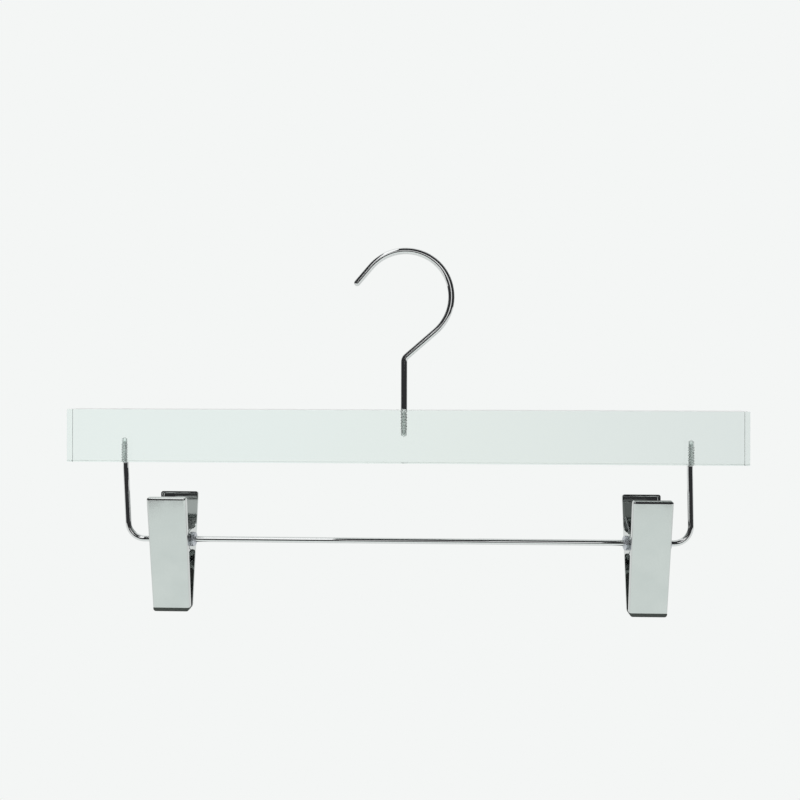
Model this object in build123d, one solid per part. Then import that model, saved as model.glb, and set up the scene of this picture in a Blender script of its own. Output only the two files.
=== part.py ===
from build123d import *
from math import cos, radians, sin, tan
import os

# Trouser hanger: a clear bar under a swivelling wire hook, with a wire rod below that
# carries two sprung clips. Millimetres, +Z up, +X along the bar, the front faces -Y.
# The origin is the hook seat: the highest point inside the hook, where a rail touches it.

# bar
bar_length = 380.0
bar_height = 29.7
bar_thickness = 12.0
bar_edge_radius = 0.3
countersink_radius = 2.9
drill_tip_slope = tan(radians(31))

# hook
hook_wire = 3.7
hook_radius = 25.8          # centreline of the loop
hook_offset = 0.7           # loop centre from the swivel axis
hook_rise = 63.75           # loop centre above the bar
hook_tip_angle = 139.5      # where the loop ends and the straight tip begins
hook_tip_length = 11.8
hook_tail_angle = -49.0     # where the loop ends and the slope to the neck begins
hook_neck_radius = 4.0
hook_stem_depth = 14.2
hook_stem_point = 1.8
hook_thread_radius = 1.85
hook_root_radius = 1.5
stem_show = 1.3             # threads left showing outside the bar
hook_pitch = 1.6

# rod
rod_wire = 3.3
rod_drop = 44.1             # rod centreline below the bar
rod_left_hole_x = -158.4    # legs from the centre, at the bar
rod_right_hole_x = 159.3
rod_left_x = -156.4         # legs from the centre, at the level of the rod
rod_right_x = 160.0
rod_bend_radius = 9.5
rod_stem_depth = 11.5
rod_stem_point = 0.6
rod_hole_depth = 12.9
rod_thread_radius = 1.8
rod_root_radius = 1.45
rod_pitch = 1.45

# clips
clip_centres = {"left": -131.0, "right": 135.6}
sheet = 0.7
lean = 8.8                  # each jaw's slope at rest
plate_offset = 9.6          # jaw's outer face from the pivot
jaw_top = 27.0
jaw_bottom = -37.0
front_top_width = 21.9
front_bottom_width = 21.0
rear_top_width = 21.6
rear_bottom_width = 21.2
rear_drop = 0.2             # the rear jaw ends this far below the front one
corner_radius = 1.2
lip_depth = 2.8
lip_height = 1.6
front_flange_depth = 3.1
rear_flange_depth = 2.4
ear_radius = 5.8
ear_below = -6.6
ear_above = 7.2
ear_bend = 2.0
front_ear_half = 9.92       # the front ears step inside the rear ones

# eyelet and spring
eyelet_radius = 2.4
eyelet_rim_radius = 4.0
eyelet_rim_width = 2.0
eyelet_rim_round = 0.9
spring_wire = 1.1
spring_radius = 3.3
spring_turns = 4
spring_leg = 18.0
spring_leg_slope = 25.4

# pads
pad_top = -18.0
pad_bottom = -40.1
pad_nip = -34.0
pad_thickness = 1.2
front_pad_width = 18.4
rear_pad_width = 17.6
pad_corner = 1.6

# fits
turning_clearance = 0.06
seat_clearance = 0.02

loop_z = -(hook_radius - hook_wire / 2)
bar_top = loop_z - hook_rise
bar_bottom = bar_top - bar_height
rod_z = bar_bottom - rod_drop


def stem_profile(crest, root, pitch, depth, point, grow=0.0):
    # Half section of a threaded stem as (radius, depth) points, ring by ring.
    points = [(0.0, -stem_show), (root + grow, -stem_show)]
    flank = pitch * 0.3
    level = pitch * 0.1 - stem_show
    while level + pitch < depth - point:
        points += [(root + grow, level), (crest + grow, level + flank)]
        points += [(crest + grow, level + pitch * 0.4), (root + grow, level + pitch * 0.7)]
        level += pitch
    points += [(root + grow, depth - point), (0.5 + grow, depth + grow), (0.0, depth + grow)]
    return points


def turned(profile, x, z, direction):
    # Solid of revolution about a vertical axis; depth runs up (+1) or down (-1) from z.
    points = [(x + radius, z + direction * depth) for radius, depth in profile]
    face = make_face(Plane.XZ * Polyline(*points, close=True))
    return revolve(face, Axis((x, 0, 0), (0, 0, 1)))


def wire_solid(path, diameter):
    section = Plane(path @ 0, z_dir=path % 0) * Circle(diameter / 2)
    return sweep(section, path)


def make_hook():
    def on_loop(angle):
        return (hook_offset + hook_radius * cos(radians(angle)), 0,
                loop_z + hook_radius * sin(radians(angle)))

    start = on_loop(hook_tip_angle)
    turn = radians(hook_tip_angle)
    tip = (start[0] - hook_tip_length * sin(turn), 0, start[2] + hook_tip_length * cos(turn))
    tail = on_loop(hook_tail_angle)
    slope = radians(hook_tail_angle)
    neck_z = tail[2] - tail[0] * cos(slope) / -sin(slope)
    loop = ThreePointArc(start, on_loop((hook_tip_angle + hook_tail_angle) / 2), tail)
    end = (0, 0, bar_top + stem_show - 0.6)
    shank = FilletPolyline(tail, (0, 0, neck_z), end, radius=hook_neck_radius)
    body = wire_solid(Wire([Line(tip, start), loop] + list(shank.edges())), hook_wire)
    body += Pos(*tip) * Sphere(hook_wire / 2)
    stem = stem_profile(hook_thread_radius, hook_root_radius, hook_pitch, hook_stem_depth,
                        hook_stem_point)
    return body + turned(stem, 0, bar_top, -1)


def make_rod():
    end_z = bar_bottom - stem_show + 0.6
    legs = [(rod_left_hole_x, 0, end_z), (rod_left_hole_x, 0, end_z - 3.0),
            (rod_left_x, 0, rod_z), (rod_right_x, 0, rod_z),
            (rod_right_hole_x, 0, end_z - 3.0), (rod_right_hole_x, 0, end_z)]
    path = FilletPolyline(*legs, radius=rod_bend_radius)
    rod = wire_solid(path, rod_wire)
    stem = stem_profile(rod_thread_radius, rod_root_radius, rod_pitch, rod_stem_depth,
                        rod_stem_point)
    for x in (rod_left_hole_x, rod_right_hole_x):
        rod += turned(stem, x, bar_bottom, 1)
    return rod


def drilled(profile, depth):
    # The stem's own hollow, a plain end beyond it and the cone a drill leaves.
    radius = profile[-3][0]
    return profile[:-2] + [(radius, depth), (0.0, depth + radius * drill_tip_slope)]


def make_bar():
    bar = Pos(0, 0, (bar_top + bar_bottom) / 2) * Box(bar_length, bar_thickness, bar_height)
    bar = fillet(bar.edges(), bar_edge_radius)
    hole = stem_profile(hook_thread_radius, hook_root_radius, hook_pitch, hook_stem_depth,
                        hook_stem_point, turning_clearance)
    bar -= turned(drilled(hole, hook_stem_depth), 0, bar_top, -1)
    bar -= Pos(0, 0, bar_top - 0.5) * Cone(hook_wire / 2, countersink_radius, 1.0)
    hole = stem_profile(rod_thread_radius, rod_root_radius, rod_pitch, rod_stem_depth,
                        rod_stem_point, seat_clearance)
    for x in (rod_left_hole_x, rod_right_hole_x):
        bar -= turned(drilled(hole, rod_hole_depth), x, bar_bottom, 1)
    return bar


def pressed_channel(top_width, bottom_width, top, bottom):
    # Sheet folded back along both sides and the top, open below and behind.
    def tapered(shrink, upper, near, far):
        outline = Polyline((-top_width / 2 + shrink, upper), (top_width / 2 - shrink, upper),
                           (bottom_width / 2 - shrink, bottom), (-bottom_width / 2 + shrink, bottom),
                           close=True)
        return Pos(0, near, 0) * extrude(Plane.XZ * make_face(outline), near - far)

    depth = plate_offset + ear_radius + 1.0
    shell = tapered(0, top, -plate_offset, -plate_offset + depth)
    folds = [e for e in shell.edges() if abs(e.center().Y + plate_offset) < 0.01
             and e.center().Z > bottom + 1]
    uprights = [e for e in shell.edges().filter_by(Axis.Y) if e.center().Z > top - 1]
    shell = fillet(folds + uprights, corner_radius)
    hollow = tapered(sheet, top - sheet, -plate_offset + sheet, -plate_offset + depth + 1)
    folds = [e for e in hollow.edges() if abs(e.center().Y + plate_offset - sheet) < 0.01
             and e.center().Z > bottom + 1]
    uprights = [e for e in hollow.edges().filter_by(Axis.Y) if e.center().Z > top - 2]
    hollow = fillet(folds + uprights, corner_radius - sheet)
    return shell - hollow - Pos(0, 0, bottom - 5) * Box(60, 60, 10)


def make_jaw(top_width, bottom_width, top, flange_depth, ear_half=None):
    # One pressed jaw standing upright in front of the pivot, which is the X axis.
    flange = -plate_offset + flange_depth
    lip = -plate_offset + lip_depth
    strip = [(flange, top - lip_height - 2), (lip, top - lip_height), (lip, top + 1),
             (-plate_offset - 1, top + 1), (-plate_offset - 1, jaw_bottom - 1),
             (flange, jaw_bottom - 1)]
    reach = ear_radius - 0.1
    ears = [(flange, ear_below), (-1.0, -reach), (-1.0, reach), (flange, ear_above)]
    side = make_face(Polyline(*strip, *ears, close=True))
    corners = [v for v in side.vertices() if abs(v.X - flange) < 0.01
               and ear_below - 1 < v.Y < ear_above + 1]
    side = fillet(corners, ear_bend) + Circle(ear_radius)
    channel = pressed_channel(top_width, bottom_width, top, jaw_bottom)
    if ear_half is None:
        jaw = channel & extrude(Plane.YZ * side, 20, both=True)
    else:
        jaw = channel & extrude(Plane.YZ * make_face(Polyline(*strip, close=True)), 20, both=True)
        root = -plate_offset + sheet / 2
        low, high = ear_below - 2.5, ear_above + 2.5
        side &= Pos((root + ear_radius + 1) / 2, (low + high) / 2) * Rectangle(
            ear_radius + 1 - root, high - low)
        for way in (-1, 1):
            jaw += extrude(Plane.YZ.offset(way * ear_half) * side, -way * sheet)
    return jaw - Rot(Y=90) * Cylinder(eyelet_radius + turning_clearance, 40)


def jaw_skin(depth, z):
    # Y of the leaning front jaw at a depth inside its outer face.
    return -(plate_offset - depth) / cos(radians(lean)) - z * tan(radians(lean))


def make_pad(tongue_width, foot_width):
    back = sheet + seat_clearance
    plate_end = jaw_bottom * cos(radians(lean)) - plate_offset * sin(radians(lean)) - 0.1
    slope_top = pad_nip + 5
    tongue = Polyline(
        (jaw_skin(back, pad_top), pad_top), (jaw_skin(back, plate_end), plate_end),
        (-seat_clearance, plate_end), (-seat_clearance, pad_nip),
        (jaw_skin(back + pad_thickness, slope_top), slope_top),
        (jaw_skin(back + pad_thickness, pad_top), pad_top), close=True)
    pad = extrude(Plane.YZ * make_face(tongue), tongue_width / 2, both=True)
    front = jaw_skin(0.1, plate_end)
    foot = Pos(0, (front - seat_clearance) / 2, (plate_end + pad_bottom) / 2) * Box(
        foot_width, -front - seat_clearance, plate_end - pad_bottom)
    ends = [e for e in foot.edges().filter_by(Axis.Y) if e.center().Z < pad_bottom + 0.1]
    return pad + fillet(ends, pad_corner)


def make_eyelet():
    drop = (front_top_width - front_bottom_width) * jaw_top / (jaw_top - jaw_bottom)
    inner = (front_top_width - drop) / 2 + 0.1
    outer = inner + eyelet_rim_width
    bore = rod_wire / 2 + turning_clearance
    rim = Circle(eyelet_rim_radius) - Circle(bore)
    eyelet = Circle(eyelet_radius) - Circle(bore)
    body = extrude(Plane.YZ * eyelet, inner, both=True)
    for side in (-1, 1):
        ring = extrude(Plane.YZ.offset(side * inner) * rim, side * eyelet_rim_width)
        face = ring.faces().sort_by(Axis.X)[-1 if side > 0 else 0]
        body += fillet(face.edges().sort_by(SortBy.LENGTH)[-1:], eyelet_rim_round)
    return body


def make_spring():
    slope = spring_leg_slope
    turns = spring_turns + (180 - 2 * slope) / 360
    start = radians(180 + slope)
    pitch = spring_wire + 0.1
    place = Plane((-pitch * turns / 2, 0, 0), x_dir=(0, cos(start), sin(start)), z_dir=(1, 0, 0))
    coil = place * Helix(pitch, pitch * turns, spring_radius)
    section = Plane(coil @ 0, z_dir=coil % 0) * Circle(spring_wire / 2)
    spring = sweep(section, coil, is_frenet=True)
    for end, way in ((0, -1), (1, 1)):
        tangent = (coil % end) * way
        leg = extrude(Plane(coil @ end, z_dir=tangent) * Circle(spring_wire / 2), spring_leg)
        spring += leg
    return spring


def make_clip():
    front = make_jaw(front_top_width, front_bottom_width, jaw_top, front_flange_depth,
                     front_ear_half)
    rear = make_jaw(rear_top_width, rear_bottom_width, jaw_top - rear_drop, rear_flange_depth)
    return {
        "front_jaw": Rot(X=lean) * front,
        "rear_jaw": Rot(Z=180) * Rot(X=lean) * rear,
        "front_pad": make_pad(front_pad_width, front_bottom_width - 0.6),
        "rear_pad": Rot(Z=180) * make_pad(rear_pad_width, rear_bottom_width - 1.2),
        "eyelet": make_eyelet(),
        "spring": make_spring(),
    }


nodes = {"hook": make_hook(), "top_bar": make_bar(), "trouser_rod": make_rod()}
for side, centre in clip_centres.items():
    for name, shape in make_clip().items():
        nodes[side + "_clip_" + name] = Pos(centre, 0, rod_z) * shape

os.makedirs("parts", exist_ok=True)
for name, shape in nodes.items():
    export_step(shape, "parts/" + name + ".step")
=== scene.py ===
# Trouser hanger: clear acrylic bar, chrome hook and rod, two sprung clips.
import math

import bpy
from mathutils import Euler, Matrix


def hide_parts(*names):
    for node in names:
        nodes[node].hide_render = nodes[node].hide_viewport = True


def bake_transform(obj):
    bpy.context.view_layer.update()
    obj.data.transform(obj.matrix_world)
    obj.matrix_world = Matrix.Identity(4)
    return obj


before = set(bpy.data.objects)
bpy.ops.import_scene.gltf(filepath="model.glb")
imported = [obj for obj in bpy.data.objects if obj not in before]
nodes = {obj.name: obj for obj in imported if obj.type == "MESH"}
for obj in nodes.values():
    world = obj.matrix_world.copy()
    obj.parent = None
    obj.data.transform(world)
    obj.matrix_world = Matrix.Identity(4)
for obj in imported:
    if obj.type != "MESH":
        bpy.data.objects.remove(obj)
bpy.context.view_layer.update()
MM = 0.001

# Driving sizes, in millimetres in the row frame
BAR_TOP, BAR_BOTTOM = -87.7, -117.4
BAR_HALF_LENGTH = 190
LEG_X = 158.85              # the rod's holes from the centre of the bar, near enough
BORE_REACH = 2.6            # anything nearer a hole's axis than this is its wall
CLIPS = {"left": -131.0, "right": 135.6}


# ---------------------------------------------------------------- node helpers
class Nodes:
    """Short ways to add and link shader nodes in one material."""

    def __init__(self, name):
        self.material = bpy.data.materials.new(name)
        self.material.use_nodes = True
        self.tree = self.material.node_tree
        self.tree.nodes.clear()
        self.out = self.add("ShaderNodeOutputMaterial")

    def add(self, kind, **values):
        node = self.tree.nodes.new(kind)
        for key, value in values.items():
            setattr(node, key, value)
        return node

    def link(self, a, b):
        self.tree.links.new(a, b)

    def feed(self, socket, value):
        """Link a socket to another node's output, or set it to a constant."""
        if isinstance(value, bpy.types.NodeSocket):
            self.link(value, socket)
        else:
            socket.default_value = value

    def coordinates(self):
        return self.add("ShaderNodeTexCoord").outputs["Object"]

    def axes(self):
        split = self.add("ShaderNodeSeparateXYZ")
        self.link(self.coordinates(), split.inputs[0])
        return split.outputs

    def noise(self, scale, detail=3.0):
        noise = self.add("ShaderNodeTexNoise")
        noise.inputs["Scale"].default_value = scale
        noise.inputs["Detail"].default_value = detail
        self.link(self.coordinates(), noise.inputs["Vector"])
        return noise.outputs["Fac"]

    def spread(self, value, low, high, start=0.3, end=0.7):
        node = self.add("ShaderNodeMapRange")
        node.inputs["From Min"].default_value = start
        node.inputs["From Max"].default_value = end
        node.inputs["To Min"].default_value = low
        node.inputs["To Max"].default_value = high
        self.link(value, node.inputs["Value"])
        return node.outputs["Result"]

    def ramp(self, value, *stops):
        node = self.add("ShaderNodeValToRGB")
        elements = node.color_ramp.elements
        while len(elements) < len(stops):
            elements.new(0.5)
        for element, (place, colour) in zip(elements, stops):
            element.position = place
            element.color = (*colour, 1)
        self.link(value, node.inputs["Fac"])
        return node.outputs["Color"]

    def math(self, operation, *values):
        node = self.add("ShaderNodeMath", operation=operation)
        for socket, value in zip(node.inputs, values):
            self.feed(socket, value)
        return node.outputs["Value"]

    def bump(self, value, strength, distance):
        node = self.add("ShaderNodeBump")
        node.inputs["Strength"].default_value = strength
        node.inputs["Distance"].default_value = distance
        self.link(value, node.inputs["Height"])
        return node.outputs["Normal"]

    def principled(self, **values):
        shader = self.add("ShaderNodeBsdfPrincipled")
        for key, value in values.items():
            self.feed(shader.inputs[key.replace("_", " ")], value)
        self.link(shader.outputs["BSDF"], self.out.inputs["Surface"])
        return self.material


# ---------------------------------------------------------------- materials
def chrome_wire():
    """Polished plating, left duller on the threads inside the bar."""
    n = Nodes("chrome wire")
    wear = n.noise(900.0)
    tone = n.ramp(wear, (0.3, (0.66, 0.67, 0.67)), (0.7, (0.72, 0.73, 0.73)))
    height = n.axes()["Z"]
    thread = n.math("MULTIPLY", n.math("LESS_THAN", height, BAR_TOP * MM),
                    n.math("GREATER_THAN", height, BAR_BOTTOM * MM))
    dulling = 0.35
    rough = n.math("MULTIPLY_ADD", thread, dulling, n.spread(wear, 0.03, 0.07))
    return n.principled(Base_Color=tone, Metallic=1.0, Roughness=rough)


def chrome_plate():
    n = Nodes("chrome plate")
    cloud = n.noise(90.0)
    tone = n.ramp(cloud, (0.3, (0.572, 0.596, 0.587)), (0.7, (0.606, 0.627, 0.617)))
    grain = n.noise(700.0)
    return n.principled(Base_Color=tone, Metallic=1.0, Roughness=n.spread(cloud, 0.05, 0.10),
                        Normal=n.bump(grain, 0.02, 0.0001))


def eyelet_steel():
    n = Nodes("eyelet steel")
    mottle = n.noise(600.0, 4.0)
    tone = n.ramp(mottle, (0.35, (0.40, 0.42, 0.45)), (0.65, (0.66, 0.68, 0.72)))
    return n.principled(Base_Color=tone, Metallic=1.0, Roughness=n.spread(mottle, 0.35, 0.5),
                        Normal=n.bump(mottle, 0.3, 0.0003))


def spring_steel():
    n = Nodes("spring steel")
    drawn = n.noise(1200.0)
    tone = n.ramp(drawn, (0.3, (0.40, 0.41, 0.42)), (0.7, (0.55, 0.56, 0.57)))
    return n.principled(Base_Color=tone, Metallic=1.0, Roughness=n.spread(drawn, 0.22, 0.34))


def grip_rubber():
    n = Nodes("grip rubber")
    grain = n.noise(1500.0)
    tone = n.ramp(grain, (0.3, (0.086, 0.098, 0.089)), (0.7, (0.116, 0.130, 0.119)))
    return n.principled(Base_Color=tone, Roughness=n.spread(grain, 0.5, 0.65),
                        Normal=n.bump(grain, 0.15, 0.0002))


def acrylic():
    """Clear plastic, faintly green, with painted shade darkening it towards +X, and rough drilled
    holes.
    """
    n = Nodes("acrylic")
    axes = n.axes()
    # Painted shade: the base colour is ramped darker along X towards the +X end of the bar.
    painted_shade_along_bar = n.spread(axes["X"], 0.0, 1.0, -BAR_HALF_LENGTH * MM, BAR_HALF_LENGTH * MM)
    tone = n.ramp(painted_shade_along_bar, (0.05, (0.912, 0.974, 0.955)), (0.27, (0.903, 0.965, 0.948)),
                  (0.58, (0.878, 0.932, 0.908)), (0.97, (0.824, 0.876, 0.862)))
    cloud = n.noise(30.0)
    from_hook = n.math("ABSOLUTE", axes["X"])
    from_leg = n.math("ABSOLUTE", n.math("SUBTRACT", from_hook, LEG_X * MM))
    across = n.math("MINIMUM", from_hook, from_leg)
    square = n.math("ADD", n.math("MULTIPLY", across, across),
                    n.math("MULTIPLY", axes["Y"], axes["Y"]))
    wall = n.math("LESS_THAN", square, (BORE_REACH * MM) ** 2)
    drilled = 0.45
    rough = n.math("MULTIPLY_ADD", wall, drilled, n.spread(cloud, 0.015, 0.03))
    return n.principled(Base_Color=tone, Roughness=rough, IOR=1.49, Transmission_Weight=1.0)


def glow(name, colour, strength=1.0):
    n = Nodes(name)
    light = n.add("ShaderNodeEmission")
    light.inputs["Color"].default_value = (*colour, 1)
    light.inputs["Strength"].default_value = strength
    n.link(light.outputs["Emission"], n.out.inputs["Surface"])
    return n.material


# ---------------------------------------------------------------- the hanger
finishes = {}
for finish, parts in (
        (chrome_wire(), ("hook", "trouser_rod")),
        (acrylic(), ("top_bar",)),
        (chrome_plate(), ("front_jaw", "rear_jaw")),
        (grip_rubber(), ("front_pad", "rear_pad")),
        (eyelet_steel(), ("eyelet",)),
        (spring_steel(), ("spring",))):
    finishes.update((part, finish) for part in parts)
for name, node in nodes.items():
    node.data.materials.clear()
    node.data.materials.append(finishes[name.split("clip_")[-1]])

# Each clip's spring mesh is copied into a new object with its placement baked into the mesh, and
# the original part is hidden.
for side, centre in CLIPS.items():
    node = nodes[side + "_clip_spring"]
    coil = bpy.data.objects.new(side + "_clip_wound_spring", node.data.copy())
    bpy.context.scene.collection.objects.link(coil)
    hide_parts(node.name)
    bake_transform(coil)

# ---------------------------------------------------------------- studio, in metres and degrees
PALE = (0.905, 0.921, 0.913)
WHITE = (1, 1, 1)
SMOKE = (0.95, 1.0, 0.97)
DARK, DARK_LEVEL = (0.95, 0.95, 1.0), 0.04
FLOOR_HALF, FLOOR_Z = 6.0, -0.9
CENTRE_Z = -0.1             # the cards stand round a point at this height
ROOM_RADIUS, INNER_RADIUS, FRONT_RADIUS, APRON_RADIUS = 1.65, 1.6, 1.5, 0.9


def mesh_object(name, verts, faces, material):
    mesh = bpy.data.meshes.new(name)
    mesh.from_pydata(verts, [], faces)
    mesh.materials.append(material)
    obj = bpy.data.objects.new(name, mesh)
    bpy.context.scene.collection.objects.link(obj)
    return obj


def card_mesh(name, point, colour, strength, across, up):
    """A curved card: point(u, v) gives its places for u and v from 0 to 1."""
    verts = [point(i / across, j / up) for j in range(up + 1) for i in range(across + 1)]
    rows = [k for k in range(up * (across + 1)) if (k + 1) % (across + 1)]
    faces = [(k, k + 1, k + across + 2, k + across + 1) for k in rows]
    return mesh_object(name, verts, faces, glow(name, colour, strength))


def between(ends, share):
    return ends[0] + (ends[1] - ends[0]) * share


def dome_card(name, turn, rise, radius, colour, strength):
    """Part of a sphere: turn is clockwise from straight behind, seen from above."""
    def point(u, v):
        a = math.radians(between(turn, u))
        e = math.radians(between(rise, v))
        return (radius * math.cos(e) * math.sin(a), radius * math.cos(e) * math.cos(a),
                CENTRE_Z + radius * math.sin(e))
    return card_mesh(name, point, colour, strength, across=48, up=24)


def front_card(name, width, rise, strength):
    """A white band in front of the hanger, bent about the hanger's own length."""
    def point(u, v):
        e = math.radians(between(rise, v))
        return (between(width, u), -FRONT_RADIUS * math.cos(e),
                CENTRE_Z + FRONT_RADIUS * math.sin(e))
    return card_mesh(name, point, WHITE, strength, across=2, up=16)


def dark_card(name, turn, rise):
    return dome_card(name, turn, rise, ROOM_RADIUS, DARK, DARK_LEVEL)


def studio():
    world = bpy.data.worlds.new("studio")
    bpy.context.scene.world = world
    world.use_nodes = True
    back = world.node_tree.nodes["Background"]
    back.inputs["Color"].default_value = (*PALE, 1)
    back.inputs["Strength"].default_value = 1.0

    corners = [(x * FLOOR_HALF, y * FLOOR_HALF, FLOOR_Z)
               for x, y in ((-1, -1), (1, -1), (1, 1), (-1, 1))]
    floor = mesh_object("floor", corners, [(0, 1, 2, 3)], glow("floor", PALE))

    # Seen only in reflections: a dark room, open behind the hanger, with a sill and a pale
    # green apron below it, a dim corner behind, and soft lights in front. Through the clear
    # plastic the dark room shows as grey instead.
    cards = [
        dark_card("dark_room", (95, 256), (-14, 90)),
        dark_card("dark_right", (62, 95), (-5, 90)),
        dark_card("dark_left", (256, 298), (-5, 90)),
        dark_card("dark_sill", (150, 210), (-25.5, -14)),
        dome_card("green_apron", (110, 250), (-60, -25.8), APRON_RADIUS, (0.95, 1.01, 0.985), 1.0),
        dome_card("dim_corner", (6, 32), (14, 36), INNER_RADIUS, SMOKE, 0.25),
        dome_card("grey_room", (62, 298), (-14, 90), INNER_RADIUS, SMOKE, 0.75),
        front_card("left_softbox", (-0.575, -0.215), (24, 102), 1.35),
        front_card("left_softbox_notch", (-0.70, -0.575), (46, 102), 1.35),
        front_card("left_softbox_end", (-2.0, -0.70), (24, 102), 1.35),
        front_card("front_strip", (-0.2, 0.17), (5, 22), 0.9),
        front_card("right_strip", (0.17, 0.45), (3, 25), 1.2),
    ]
    for card in cards:
        is_grey = card.name == "grey_room"
        card.visible_camera = False
        card.visible_transmission = is_grey
        card.visible_glossy = not is_grey
        card.visible_diffuse = not is_grey


def camera():
    """The fitted view: a little right of the middle, level with the hook's neck."""
    data = bpy.data.cameras.new("camera")
    data.sensor_width = 36.0
    data.lens = 34.91
    data.shift_y = -0.0342
    data.clip_start, data.clip_end = 0.01, 50.0
    cam = bpy.data.objects.new("camera", data)
    bpy.context.scene.collection.objects.link(cam)
    cam.location = (0.0118, -0.43684, -0.06671)
    yaw, roll = 0.0323, 0.0024
    turned = Euler((math.radians(90), 0, yaw), "XYZ").to_matrix()
    rolled = Euler((0, 0, roll), "XYZ").to_matrix()
    cam.rotation_euler = (turned @ rolled).to_euler()
    bpy.context.scene.camera = cam


studio()
camera()
bpy.context.scene.view_settings.view_transform = "Standard"
bpy.context.scene.view_settings.look = "None"
